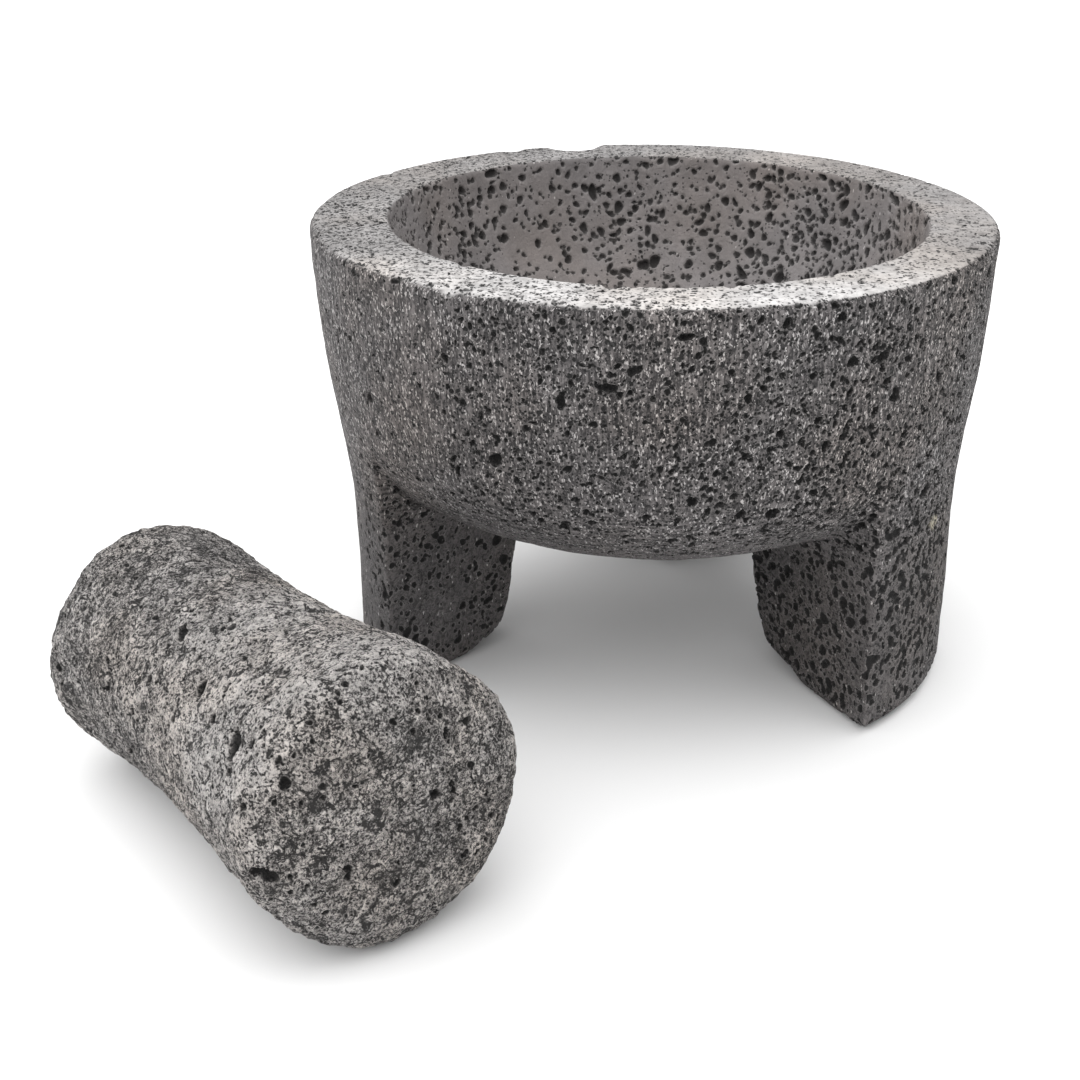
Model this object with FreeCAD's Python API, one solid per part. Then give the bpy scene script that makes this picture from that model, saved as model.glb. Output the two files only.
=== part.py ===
import FreeCAD, Part
import math
import os

# Molcajete: a three-legged basalt mortar with its loose basalt pestle lying in front of it.
# Lengths are millimetres and angles are degrees. +Z is up, and the front is towards -Y.
# A bearing is measured about the mortar's axis from the front, and grows towards +X.
# While it is built, the mortar's axis is the Z axis.

# ---- mortar: rim, wall and underside ----
RIM_RADIUS = 100.0          # a mortar of the nominal 8 in size
RIM_HEIGHT = 136.0
RIM_WALL = 21.0             # width of the flat rim
RIM_EDGE = 1.5              # worn edge round the rim
WALL_FOOT_RADIUS = 95.6     # where the wall ends and the underside turns in
WALL_FOOT_HEIGHT = 82.0
UNDERSIDE_HEIGHT = 42.0     # clear height under the middle of the bowl
HOLLOW_DEPTH = 62.0

# ---- mortar: legs ----
LEG_BEARINGS = {"right": 66.0, "rear": 173.0, "left": -79.0}
LEG_HALF_ANGLE = 24.5       # half the bearing that one leg spans at the wall
LEG_NOSE_HALF_WIDTH = 6.0   # the leg narrows to this towards the axis
LEG_NOSE_RADII = {          # distance from the axis to the nose: up inside the bowl, at the foot
    "right": (28.5, 42.5),
    "rear": (40.0, 52.0),
    "left": (37.0, 48.5),
}
LEG_TOP = 84.0              # the legs run up inside the bowl's wall to this height
LEG_REACH = 106.0           # the wedges run out past the wall, and the envelope trims them
FOOT_RADIUS = 92.0          # outer face of the legs above the worn foot
STRAIGHT_LEG_HEIGHT = 44.0  # below this the legs' outer face is upright
FOOT_ROUND = 3.0            # height of the worn edge of each foot, and its width outside
FOOT_SIDE_ROUND = 2.0       # width of the worn edge along the leg's sides and nose

# ---- pestle ----
PESTLE_LENGTH = 142.0
PESTLE_NEAR_RADIUS = 37.4   # the thicker end, towards the front
PESTLE_WAIST_RADIUS = 31.4
PESTLE_FAR_RADIUS = 33.0
PESTLE_NEAR_DOME = 12.5     # length of each domed end
PESTLE_FAR_DOME = 18.0
NEAR_DOME_FULLNESS = 0.74   # 0.55 makes an ellipse, more makes a blunter end
FAR_DOME_FULLNESS = 0.52
PESTLE_CENTRE = (-97.6, -123.7)   # from the mortar's axis, on the ground
PESTLE_BEARING = 40.6       # its far end is turned this much from +Y towards -X


def revolve(outline, axis=FreeCAD.Vector(0, 0, 1)):
    """Solid of revolution of a closed outline about an axis through the origin."""
    face = Part.Face(Part.Wire(outline))
    return face.revolve(FreeCAD.Vector(0, 0, 0), axis, 360)


def bezier(points):
    """Cubic edge in the XZ plane, from its four poles given as (radius, height)."""
    curve = Part.BezierCurve()
    curve.setPoles([FreeCAD.Vector(radius, 0, height) for radius, height in points])
    return curve.toShape()


def lines(points):
    """Straight edges in the XZ plane through points given as (radius, height)."""
    corners = [FreeCAD.Vector(radius, 0, height) for radius, height in points]
    return [Part.makeLine(a, b) for a, b in zip(corners, corners[1:])]


def wall_edge():
    """Outer wall from under the rim's worn edge down to where the bowl turns in."""
    return bezier([
        (RIM_RADIUS, RIM_HEIGHT - RIM_EDGE),
        (RIM_RADIUS - 0.5, RIM_HEIGHT - 21.0),
        (WALL_FOOT_RADIUS + 2.0, WALL_FOOT_HEIGHT + 13.0),
        (WALL_FOOT_RADIUS, WALL_FOOT_HEIGHT),
    ])


def bowl_solid():
    """The bowl before hollowing: flat rim, gently tapered wall and rounded underside."""
    underside = bezier([
        (WALL_FOOT_RADIUS, WALL_FOOT_HEIGHT),
        (WALL_FOOT_RADIUS - 3.0, WALL_FOOT_HEIGHT - 20.0),
        (WALL_FOOT_RADIUS * 0.6, UNDERSIDE_HEIGHT),
        (0.0, UNDERSIDE_HEIGHT),
    ])
    top = lines([
        (0.0, UNDERSIDE_HEIGHT),
        (0.0, RIM_HEIGHT),
        (RIM_RADIUS - RIM_EDGE, RIM_HEIGHT),
        (RIM_RADIUS, RIM_HEIGHT - RIM_EDGE),
    ])
    return revolve([wall_edge(), underside] + top)


def hollow_solid():
    """The round hollow of the bowl, cut from above the rim down."""
    mouth = RIM_RADIUS - RIM_WALL
    floor = RIM_HEIGHT - HOLLOW_DEPTH
    above = RIM_HEIGHT + 5.0
    side = bezier([
        (mouth, RIM_HEIGHT),
        (mouth - 3.0, floor + HOLLOW_DEPTH * 0.4),
        (mouth * 0.7, floor),
        (0.0, floor),
    ])
    return revolve([side] + lines([(0.0, floor), (0.0, above), (mouth, above), (mouth, RIM_HEIGHT)]))


def envelope_solid():
    """Outer limit of the legs: the wall carried down to the worn edge of the feet."""
    leg_face = bezier([
        (WALL_FOOT_RADIUS, WALL_FOOT_HEIGHT),
        (WALL_FOOT_RADIUS - 1.6, WALL_FOOT_HEIGHT - 11.0),
        (FOOT_RADIUS, STRAIGHT_LEG_HEIGHT + 14.0),
        (FOOT_RADIUS, STRAIGHT_LEG_HEIGHT),
    ])
    below = lines([
        (FOOT_RADIUS, STRAIGHT_LEG_HEIGHT),
        (FOOT_RADIUS, FOOT_ROUND),
        (FOOT_RADIUS - FOOT_ROUND, 0.0),
        (0.0, 0.0),
        (0.0, RIM_HEIGHT - RIM_EDGE),
        (RIM_RADIUS, RIM_HEIGHT - RIM_EDGE),
    ])
    return revolve([wall_edge(), leg_face] + below)


def leg_section(height, nose_radius, inset=0.0):
    """Wedge-shaped section of a leg that points along +X, wide outside and narrow inside."""
    half = math.radians(LEG_HALF_ANGLE)
    outer_x = LEG_REACH * math.cos(half)
    outer_y = LEG_REACH * math.sin(half) - inset
    nose_x = nose_radius + inset
    nose_y = LEG_NOSE_HALF_WIDTH - inset / 2.0
    corners = [(nose_x, -nose_y), (outer_x, -outer_y), (outer_x, outer_y), (nose_x, nose_y)]
    points = [FreeCAD.Vector(x, y, height) for x, y in corners]
    return Part.makePolygon(points + points[:1])


def leg_solid(bearing, nose_top, nose_foot):
    """One tapering leg, cut to the envelope and turned to its bearing."""
    worn_nose = nose_foot - (nose_foot - nose_top) * FOOT_ROUND / LEG_TOP
    foot = Part.makeLoft([
        leg_section(0.0, nose_foot, FOOT_SIDE_ROUND),
        leg_section(FOOT_ROUND, worn_nose),
    ], True, True)
    shaft = Part.makeLoft([
        leg_section(FOOT_ROUND, worn_nose),
        leg_section(LEG_TOP, nose_top),
    ], True, True)
    leg = foot.fuse(shaft).removeSplitter()
    leg.rotate(FreeCAD.Vector(0, 0, 0), FreeCAD.Vector(0, 0, 1), bearing - 90.0)
    return leg.common(envelope_solid())


def mortar_solid():
    """Bowl and three legs as the one block of stone that they are carved from."""
    legs = [leg_solid(LEG_BEARINGS[name], *LEG_NOSE_RADII[name]) for name in LEG_BEARINGS]
    block = bowl_solid().fuse(legs)
    return block.cut(hollow_solid()).removeSplitter().Solids[0]


def pestle_outline():
    """Closed half section along +X: near dome, waist, far dome and the axis."""
    near_pole = -PESTLE_LENGTH / 2.0
    far_pole = PESTLE_LENGTH / 2.0
    near_shoulder = near_pole + PESTLE_NEAR_DOME
    far_shoulder = far_pole - PESTLE_FAR_DOME
    waist_pole = (8.0 * PESTLE_WAIST_RADIUS - PESTLE_NEAR_RADIUS - PESTLE_FAR_RADIUS) / 6.0
    near_dome = bezier([
        (near_pole, 0.0),
        (near_pole, PESTLE_NEAR_RADIUS * NEAR_DOME_FULLNESS),
        (near_shoulder - PESTLE_NEAR_DOME * NEAR_DOME_FULLNESS, PESTLE_NEAR_RADIUS),
        (near_shoulder, PESTLE_NEAR_RADIUS),
    ])
    waist = bezier([
        (near_shoulder, PESTLE_NEAR_RADIUS),
        (near_shoulder / 3.0, waist_pole),
        (far_shoulder / 3.0, waist_pole),
        (far_shoulder, PESTLE_FAR_RADIUS),
    ])
    far_dome = bezier([
        (far_shoulder, PESTLE_FAR_RADIUS),
        (far_shoulder + PESTLE_FAR_DOME * FAR_DOME_FULLNESS, PESTLE_FAR_RADIUS),
        (far_pole, PESTLE_FAR_RADIUS * FAR_DOME_FULLNESS),
        (far_pole, 0.0),
    ])
    return [near_dome, waist, far_dome] + lines([(far_pole, 0.0), (near_pole, 0.0)])


def pestle_solid():
    """Waisted pestle with domed ends, lying on the ground on its two shoulders."""
    pestle = revolve(pestle_outline(), FreeCAD.Vector(1, 0, 0))
    between_shoulders = PESTLE_LENGTH - PESTLE_NEAR_DOME - PESTLE_FAR_DOME
    drop = PESTLE_NEAR_RADIUS - PESTLE_FAR_RADIUS
    tilt = math.degrees(math.asin(drop / between_shoulders))
    origin = FreeCAD.Vector(0, 0, 0)
    pestle.rotate(origin, FreeCAD.Vector(0, 1, 0), tilt)
    pestle.rotate(origin, FreeCAD.Vector(0, 0, 1), 90.0 + PESTLE_BEARING)
    lowest = pestle.optimalBoundingBox(False).ZMin
    pestle.translate(FreeCAD.Vector(PESTLE_CENTRE[0], PESTLE_CENTRE[1], -lowest))
    return pestle


def main():
    """Write both stones, with the origin under the middle of their bounding box."""
    solids = {"mortar": mortar_solid(), "pestle": pestle_solid()}
    box = Part.makeCompound(list(solids.values())).optimalBoundingBox(False)
    shift = FreeCAD.Vector(-box.Center.x, -box.Center.y, -box.ZMin)
    os.makedirs("parts", exist_ok=True)
    for name, solid in solids.items():
        solid.translate(shift)
        solid.exportStep(f"parts/{name}.step")
        size = solid.optimalBoundingBox(False)
        print(name, solid.ShapeType, solid.isValid(), f"volume {solid.Volume / 1e6:.3f} l",
              f"box {size.XMin:.1f} {size.YMin:.1f} {size.ZMin:.2f}",
              f"{size.XMax:.1f} {size.YMax:.1f} {size.ZMax:.1f}")
    print(f"mortar axis at {shift.x:.2f} {shift.y:.2f}")


main()
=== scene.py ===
import math

import bmesh
import bpy
import numpy as np
from bpy.props import FloatProperty, FloatVectorProperty, IntProperty, PointerProperty
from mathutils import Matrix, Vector, bvhtree, kdtree


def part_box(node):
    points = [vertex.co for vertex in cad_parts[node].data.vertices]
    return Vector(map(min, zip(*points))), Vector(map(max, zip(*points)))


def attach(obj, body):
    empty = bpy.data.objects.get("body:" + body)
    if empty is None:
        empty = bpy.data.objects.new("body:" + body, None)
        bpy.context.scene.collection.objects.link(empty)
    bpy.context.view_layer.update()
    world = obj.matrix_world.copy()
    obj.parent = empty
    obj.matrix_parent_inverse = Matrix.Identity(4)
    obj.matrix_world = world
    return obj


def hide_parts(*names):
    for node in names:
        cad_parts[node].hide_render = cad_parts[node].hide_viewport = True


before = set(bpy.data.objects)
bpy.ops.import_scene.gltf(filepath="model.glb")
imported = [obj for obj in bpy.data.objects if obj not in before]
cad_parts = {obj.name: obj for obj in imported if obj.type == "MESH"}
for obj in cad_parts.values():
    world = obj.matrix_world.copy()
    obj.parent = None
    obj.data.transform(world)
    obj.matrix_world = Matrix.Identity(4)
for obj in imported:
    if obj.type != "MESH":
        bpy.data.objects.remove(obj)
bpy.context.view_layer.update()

bl_info = {
    "name": "Molcajete",
    "version": (1, 0, 0),
    "blender": (4, 5, 0),
    "location": "View3D > Sidebar > Molcajete",
    "description": "Builds a carved basalt mortar and its pestle around their CAD frame",
    "category": "Add Mesh",
}

MM = 0.001


# ---- Where things are in the frame ----

def node_middle(node):
    """Middle of a CAD node's box at rest."""
    low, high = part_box(node)
    return (Vector(low) + Vector(high)) / 2


def node_size(node):
    """Edge lengths of a CAD node's box at rest."""
    low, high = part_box(node)
    return Vector(high) - Vector(low)


MORTAR_AXIS = node_middle("mortar")
MORTAR_SIZE = node_size("mortar")
RIM_RADIUS = MORTAR_SIZE.x / 2
RIM_HEIGHT = MORTAR_SIZE.z


# ---- Settings ----

def length(name, default, description):
    """A length property in metres."""
    return FloatProperty(name=name, default=default, min=0.0, precision=5, unit="LENGTH",
                         subtype="DISTANCE", description=description)


def colour(name, default, description):
    """A linear colour property."""
    return FloatVectorProperty(name=name, default=default, min=0.0, max=1.0, size=3,
                               subtype="COLOR", description=description)


def count(name, default, description):
    """A whole-number property."""
    return IntProperty(name=name, default=default, min=0, description=description)


class MortarSettings(bpy.types.PropertyGroup):
    """Sizes and colours of the mortar."""
    mesh_step: length("Mesh step", 0.6 * MM, "Distance between the surface's points")
    edge_wear: count("Edge wear", 4, "Rounding passes over outward edges")
    fillet_wear: count("Fillet wear", 14, "Rounding passes over inward corners under the bowl")
    wave: length("Wave", 0.55 * MM, "Slow unevenness of the hand-carved wall")
    dressing: length("Dressing", 0.16 * MM, "Unevenness left by the dressing tool")
    edge_chips: length("Edge chips", 0.75 * MM, "Depth of the small chips along the edges")
    pores: count("Pores", 19000, "Open gas bubbles on the whole surface")
    pore_radius: length("Pore radius", 0.55 * MM, "Middle radius of the pores")
    offset: length("Offset", 0.9 * MM, "How far the whole stone stands to the right")
    lean: length("Lean", 2.0 * MM, "How much further to the right the feet stand than the rim")
    dark: colour("Dark grain", (0.030, 0.0275, 0.028), "Dark glassy part of the basalt")
    light: colour("Light grain", (0.172, 0.158, 0.156), "Light felted part of the basalt")
    fleck: colour("Flecks", (0.56, 0.53, 0.52), "Bright crystals")
    rubbed: colour("Rubbed stone", (0.215, 0.198, 0.195), "Smooth stone in the hollow")
    ground: colour("Ground stone", (0.255, 0.243, 0.238), "Pale flat rim where it was ground")
    # Painted sheen: the palest colour, laid on the front of the rim towards the camera as a painted
    # reflection.
    fresh: colour("Painted rim sheen", (0.55, 0.53, 0.52), "Palest part of the rim, in front")
    seed: count("Seed", 11, "Start of the random draws")


class PestleSettings(bpy.types.PropertyGroup):
    """Sizes and colours of the pestle."""
    mesh_step: length("Mesh step", 0.56 * MM, "Distance between the surface's points")
    edge_wear: count("Edge wear", 8, "Rounding passes over the shoulders")
    wave: length("Wave", 0.6 * MM, "Slow unevenness of the pecked body")
    pecking: length("Pecking", 0.42 * MM, "Depth of the pecked facets")
    grain: length("Grain", 0.36 * MM, "Height of the coarse grain")
    pores: count("Pores", 2200, "Open gas bubbles on the whole surface")
    pore_radius: length("Pore radius", 0.52 * MM, "Middle radius of the pores")
    dark: colour("Dark grain", (0.026, 0.0235, 0.0225), "Dark part of the pecked stone")
    # The pale end also serves the painted light on the pestle's upper side.
    light: colour("Light grain", (0.80, 0.75, 0.72), "Pale part of the pecked stone, also for painted light")
    fleck: colour("Flecks", (0.62, 0.59, 0.57), "Bright crystals")
    seed: count("Seed", 29, "Start of the random draws")


class StageSettings(bpy.types.PropertyGroup):
    """Floor, light and camera."""
    floor: colour("Floor", (0.80, 0.80, 0.80), "Colour of the plain floor")
    sky: FloatProperty(name="Sky", default=1.0, min=0.0, description="Strength of the even light")
    ceiling: FloatProperty(name="Ceiling light", default=3.0, min=0.0,
                           description="Strength of the wide soft light from above")
    ceiling_width: FloatProperty(name="Ceiling width", default=math.radians(100.0),
                                 subtype="ANGLE", description="How wide that light is")
    focal_length: FloatProperty(name="Focal length", default=60.0, min=1.0, unit="CAMERA",
                                description="Focal length in millimetres on a 36 mm sensor")
    camera_distance: length("Camera distance", 0.5249, "From the mortar's axis, level")
    camera_height: length("Camera height", 0.2624, "Above the ground")
    camera_pitch: FloatProperty(name="Camera pitch", default=math.radians(23.89),
                                subtype="ANGLE", description="How far it looks down")
    camera_turn: FloatProperty(name="Camera turn", default=math.radians(3.51),
                               subtype="ANGLE", description="How far it is turned to the left")


# ---- Noise over arrays of points ----

def lattice_random(cells, seed):
    """One random number from 0 to 1 for each whole-number cell, the same every run."""
    mixed = cells[:, 0] * 374761393 + cells[:, 1] * 668265263 + cells[:, 2] * 1440662683
    mixed = (mixed + seed * 1274126177) & 0xFFFFFFFF
    mixed = ((mixed ^ (mixed >> 13)) * 1103515245) & 0xFFFFFFFF
    mixed = ((mixed ^ (mixed >> 16)) * 2246822519) & 0xFFFFFFFF
    return (mixed ^ (mixed >> 15)) / 0xFFFFFFFF


def smooth_noise(points, size, seed):
    """Smooth noise from -1 to 1 with features of the given size."""
    scaled = points / size
    cells = np.floor(scaled).astype(np.int64)
    part = scaled - cells
    part = part * part * (3.0 - 2.0 * part)
    total = np.zeros(len(points))
    for corner in range(8):
        step = np.array([corner & 1, corner >> 1 & 1, corner >> 2 & 1])
        share = np.where(step, part, 1.0 - part).prod(axis=1)
        total += share * lattice_random(cells + step, seed)
    return total * 2.0 - 1.0


def layered_noise(points, size, layers, seed):
    """Several layers of smooth noise, each half the size and height of the one before."""
    total = np.zeros(len(points))
    for layer in range(layers):
        total += smooth_noise(points, size / 2.0 ** layer, seed + layer) / 2.0 ** layer
    return total


def ramp(values, start, end):
    """0 at start and 1 at end, eased between."""
    part = np.clip((values - start) / (end - start), 0.0, 1.0)
    return part * part * (3.0 - 2.0 * part)


def below(values, band):
    """1 below a band of values, 0 above it, eased between."""
    return 1.0 - ramp(values, *band)


# ---- Stone surfaces ----

class Stone:
    """A dense, even mesh made from a CAD node, with its points and normals as arrays."""

    def __init__(self, name, node, step):
        self.object = remeshed_copy(name, node, step)
        self.mesh = self.object.data
        size = len(self.mesh.vertices)
        self.points = np.empty(size * 3)
        self.mesh.vertices.foreach_get("co", self.points)
        self.points = self.points.reshape(-1, 3)
        self.edges = np.empty(len(self.mesh.edges) * 2, dtype=np.int32)
        self.mesh.edges.foreach_get("vertices", self.edges)
        self.edges = self.edges.reshape(-1, 2)
        self.links = np.bincount(self.edges.ravel(), minlength=size)[:, None]

    def write(self):
        """Put the points back into the mesh."""
        self.mesh.vertices.foreach_set("co", self.points.ravel())
        self.mesh.update()

    def normals(self):
        """The mesh's own normals at the points as they are now."""
        self.write()
        values = np.empty(len(self.points) * 3)
        self.mesh.vertex_normals.foreach_get("vector", values)
        return values.reshape(-1, 3)

    def everywhere(self, value):
        """The same value for each point."""
        return np.full(len(self.points), value)

    def neighbour_mean(self, values, edges=None):
        """Mean of each point's linked neighbours, over all edges or only some."""
        start, end = (self.edges if edges is None else edges).T
        size = len(values)
        columns = [np.bincount(start, values[end, i], size) + np.bincount(end, values[start, i], size)
                   for i in range(values.shape[1])]
        return np.stack(columns, axis=1) / self.links

    def relax(self, weight, passes):
        """Round the edges: draw each point towards its neighbours."""
        edges = self.edges[(weight[self.edges] > 0.0).any(axis=1)]
        for _ in range(passes):
            self.points += weight[:, None] * (self.neighbour_mean(self.points, edges) - self.points)

    def fill_corners(self, weight, passes):
        """Round only the inward corners."""
        for step in range(passes):
            if step % 6 == 0:
                normals = self.normals()
            pull = self.neighbour_mean(self.points) - self.points
            inward = np.einsum("ij,ij->i", pull, normals) > 0.0
            self.points += (weight * inward)[:, None] * pull

    def fill_to(self, shell, chosen, tolerance):
        """Bring chosen points out to a smoother shell where they lie behind it."""
        normals = self.normals()
        for index in np.flatnonzero(chosen):
            nearest = shell.find_nearest(self.points[index])[0]
            out = (np.array(nearest) - self.points[index]) @ normals[index] - tolerance
            if out > 0.0:
                self.points[index] += normals[index] * out

    def shell(self):
        """Search tree of the surface."""
        self.write()
        faces = [tuple(face.vertices) for face in self.mesh.polygons]
        return bvhtree.BVHTree.FromPolygons(self.points.tolist(), faces)

    def discard(self):
        """Remove the object again."""
        bpy.data.objects.remove(self.object)
        bpy.data.meshes.remove(self.mesh)

    def exposure(self, passes, reach):
        """0 on flat and hollow places, 1 where an edge stands out by the given reach."""
        kept = self.points.copy()
        normals = self.normals()
        self.relax(self.everywhere(0.5), passes)
        proud = np.einsum("ij,ij->i", kept - self.points, normals)
        self.points = kept
        return ramp(proud, 0.1 * reach, reach)

    def push(self, normals, distance):
        """Move the points out along the normals."""
        self.points += normals * distance[:, None]

    def keep(self, **masks):
        """Store named values for each point, for the material."""
        for name, values in masks.items():
            layer = self.mesh.attributes.new(name, "FLOAT", "POINT")
            layer.data.foreach_set("value", values.astype(np.float32))


def remeshed_copy(name, node, step):
    """A new object with the shape of a CAD node as one skin of small, even faces."""
    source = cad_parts[node].data
    welded = bmesh.new()
    welded.from_mesh(source)
    bmesh.ops.remove_doubles(welded, verts=welded.verts, dist=1e-6)
    mesh = bpy.data.meshes.new(name)
    welded.to_mesh(mesh)
    welded.free()
    rough = bpy.data.objects.new(name + "_rough", mesh)
    bpy.context.scene.collection.objects.link(rough)
    remesh = rough.modifiers.new("even_skin", "REMESH")
    remesh.mode = "VOXEL"
    remesh.voxel_size = step
    remesh.use_smooth_shade = True
    graph = bpy.context.evaluated_depsgraph_get()
    skin = bpy.data.meshes.new_from_object(rough.evaluated_get(graph))
    bpy.data.objects.remove(rough)
    bpy.data.meshes.remove(mesh)
    skin.name = name
    stone = bpy.data.objects.new(name, skin)
    bpy.context.scene.collection.objects.link(stone)
    return stone


def point_tree(points):
    """Search tree over the points."""
    tree = kdtree.KDTree(len(points))
    for index, point in enumerate(points.tolist()):
        tree.insert(point, index)
    tree.balance()
    return tree


def open_pore(pores, near, points, facing, centre, radius, rng):
    """Open one bubble: an uneven, slightly oval hole with steep sides."""
    side = np.cross(facing, rng.normal(size=3))
    side /= np.linalg.norm(side)
    across = np.cross(facing, side)
    stretch = math.exp(rng.normal(0.0, 0.17))
    offset = points[near] - centre
    u = offset @ side / stretch
    v = offset @ across * stretch
    turn = np.arctan2(v, u)
    edge = 1.0 + 0.11 * np.sin(2.0 * turn + rng.uniform(0.0, 6.3))
    edge += 0.09 * np.sin(3.0 * turn + rng.uniform(0.0, 6.3))
    reach = np.sqrt(u * u + v * v + (offset @ facing) ** 2) / edge
    inside = radius - reach
    hollow = np.sqrt(np.clip(radius * radius - reach * reach, 0.0, None))
    pores.inside[near] = np.maximum(pores.inside[near], inside)
    pores.depth[near] = np.maximum(pores.depth[near], hollow * rng.uniform(0.9, 1.5))


class Pores:
    """All bubbles of one stone: how deep each point lies, and how far inside an edge it is."""

    def __init__(self, stone, normals):
        self.stone = stone
        self.normals = normals
        self.tree = point_tree(stone.points)
        self.depth = np.zeros(len(stone.points))
        self.inside = np.full(len(stone.points), -1.0 * MM)

    def open(self, centre, facing, radius, rng):
        """Open one bubble at a place."""
        found = self.tree.find_range(centre, radius * 1.6 + 1.0 * MM)
        near = np.array([entry[1] for entry in found], dtype=np.int64)
        near = near[self.normals[near] @ facing > 0.3] if len(near) else near
        if len(near):
            open_pore(self, near, self.stone.points, facing, centre, radius, rng)

    def scatter(self, chosen, radii, rng):
        """Open many bubbles at chosen points, the largest first, with few that run together."""
        for place in np.argsort(-radii):
            index, radius = chosen[place], radii[place]
            if -self.inside[index] > min(0.6 * radius, 0.8 * MM):
                self.open(self.stone.points[index], self.normals[index], radius, rng)

    def open_by_hand(self, places, rng):
        """Open the large bubbles that are set one by one."""
        for place, radius in places:
            index = self.tree.find(place)[1]
            self.open(self.stone.points[index], self.normals[index], radius, rng)


def choose_pores(crowding, number, rng):
    """Pick points for the pores, more where crowding is larger."""
    share = np.clip(crowding, 0.0, None)
    return rng.choice(len(crowding), size=number, replace=False, p=share / share.sum())


# ---- Mortar ----

def bearing_point(bearing, radius, height):
    """A point by its bearing about the mortar's axis, from the front towards +X."""
    angle = math.radians(bearing)
    return np.array([
        MORTAR_AXIS.x + radius * math.sin(angle),
        MORTAR_AXIS.y - radius * math.cos(angle),
        height,
    ])


def around_mortar(points):
    """Distance from the mortar's axis, height, and share of the way to the right."""
    offset = points[:, :2] - np.array(MORTAR_AXIS)[:2]
    return np.hypot(offset[:, 0], offset[:, 1]), points[:, 2], offset[:, 0] / RIM_RADIUS


RIM_CHIPS = (
    # bearing, distance from the axis over the rim's radius, width, depth
    (-164.0, 1.0, 11 * MM, 2.4 * MM),
    (-151.0, 1.0, 5 * MM, 0.9 * MM),
    (-120.0, 1.0, 4 * MM, 0.7 * MM),
    (-63.0, 1.0, 3 * MM, 0.7 * MM),
    (-31.0, 1.0, 4 * MM, 0.9 * MM),
    (24.0, 1.0, 3 * MM, 0.6 * MM),
    (71.0, 1.0, 4 * MM, 0.6 * MM),
    (-8.0, 0.8, 3 * MM, 0.9 * MM),
    (14.0, 0.8, 2 * MM, 0.7 * MM),
    (-40.0, 0.8, 3 * MM, 0.6 * MM),
)
MORTAR_BUBBLES = (
    # bearing, height, radius
    (-5.5, 115 * MM, 1.9 * MM),
    (-2.0, 120 * MM, 1.3 * MM),
    (-12.5, 110 * MM, 1.7 * MM),
    (38.0, 118 * MM, 1.9 * MM),
    (42.0, 106 * MM, 2.0 * MM),
    (44.0, 23 * MM, 2.7 * MM),
    (47.0, 62 * MM, 2.0 * MM),
    (56.0, 71 * MM, 2.3 * MM),
)


# Heights and distances from the axis over which one kind of surface gives way to the next.
LEG_TO_WALL = (42 * MM, 78 * MM)
DRESSED_WALL = (70 * MM, 105 * MM)
TURNED_START = (40 * MM, 55 * MM)
TURNED_END = (74 * MM, 90 * MM)
HOLLOW_FLOOR = (70 * MM, 73 * MM)
HOLLOW_MOUTH = (0.81 * RIM_RADIUS, 0.86 * RIM_RADIUS)
RIM_TOP = (RIM_HEIGHT - 3.0 * MM, RIM_HEIGHT - 1.6 * MM)
UNDERSIDE = (22 * MM, 86 * MM)
FOOT_NOSE = (42 * MM, 64 * MM)

FOOT_WEAR = 4.5 * MM        # how far the feet's inner corners are worn up
FOOT_WEAR_HEIGHT = 20 * MM
FOOT_ROUNDING = 140         # rounding passes over those corners
FILLET_STEP = 2.4 * MM      # mesh step of the rough copy that the fillets are taken from
HOLLOW_SHIFT = 1.2 * MM     # how far the hollow stands further right than the wall
PEBBLE = (62.0, 93 * MM, 58 * MM)       # bearing, distance from the axis and height of a pale pebble
PEBBLE_EDGE = (2.6 * MM, 3.4 * MM)
PEBBLE_COLOUR = (0.33, 0.30, 0.23)


def carve_mortar(stone, settings):
    """Worn edges, hand-carved unevenness and the rim's chips. Returns how exposed each point is."""
    _, height, _ = around_mortar(stone.points)
    add_fillets(stone, settings.fillet_wear)
    stone.relax(stone.everywhere(0.5), settings.edge_wear)
    round_feet(stone)
    exposed = stone.exposure(16, 0.8 * MM)
    hollow = hollow_mask(stone)
    normals = stone.normals()
    rim = rim_mask(stone, normals)
    slow = layered_noise(stone.points, 50 * MM, 2, settings.seed)
    tool = layered_noise(stone.points, 7 * MM, 3, settings.seed + 10)
    bites = ramp(layered_noise(stone.points, 4.5 * MM, 3, settings.seed + 40), -0.1, 1.2)
    uneven = slow * settings.wave * (1.0 - 0.6 * rim) + tool * settings.dressing * (1.0 - 0.7 * rim)
    stone.push(normals, uneven - exposed * bites * settings.edge_chips)
    chip_rim(stone)
    stone.points[:, 0] += settings.offset + HOLLOW_SHIFT * hollow
    stone.points[:, 0] += settings.lean * below(height, (0.15 * RIM_HEIGHT, 0.9 * RIM_HEIGHT))
    return exposed


def add_fillets(stone, passes):
    """Large soft fillets where the legs grow out of the underside."""
    rough = Stone("rough_mortar", "mortar", FILLET_STEP)
    rough.fill_corners(rough.everywhere(0.5), passes)
    shell = rough.shell()
    rough.discard()
    radius, height, _ = around_mortar(stone.points)
    under = (height > UNDERSIDE[0]) & (height < UNDERSIDE[1]) & (radius < 0.96 * RIM_RADIUS)
    stone.fill_to(shell, under & (hollow_mask(stone) < 0.5), 0.3 * MM)
    stone.fill_corners(0.5 * under, 6)


def round_feet(stone):
    """Wear the feet's inner lower corners away."""
    radius, height, _ = around_mortar(stone.points)
    worn = below(radius, FOOT_NOSE) * np.clip(1.0 - height / FOOT_WEAR_HEIGHT, 0.0, 1.0) ** 2
    stone.relax(0.5 * ramp(worn, 0.0, 0.3), FOOT_ROUNDING)
    stone.points[:, 2] += worn * FOOT_WEAR


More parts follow.
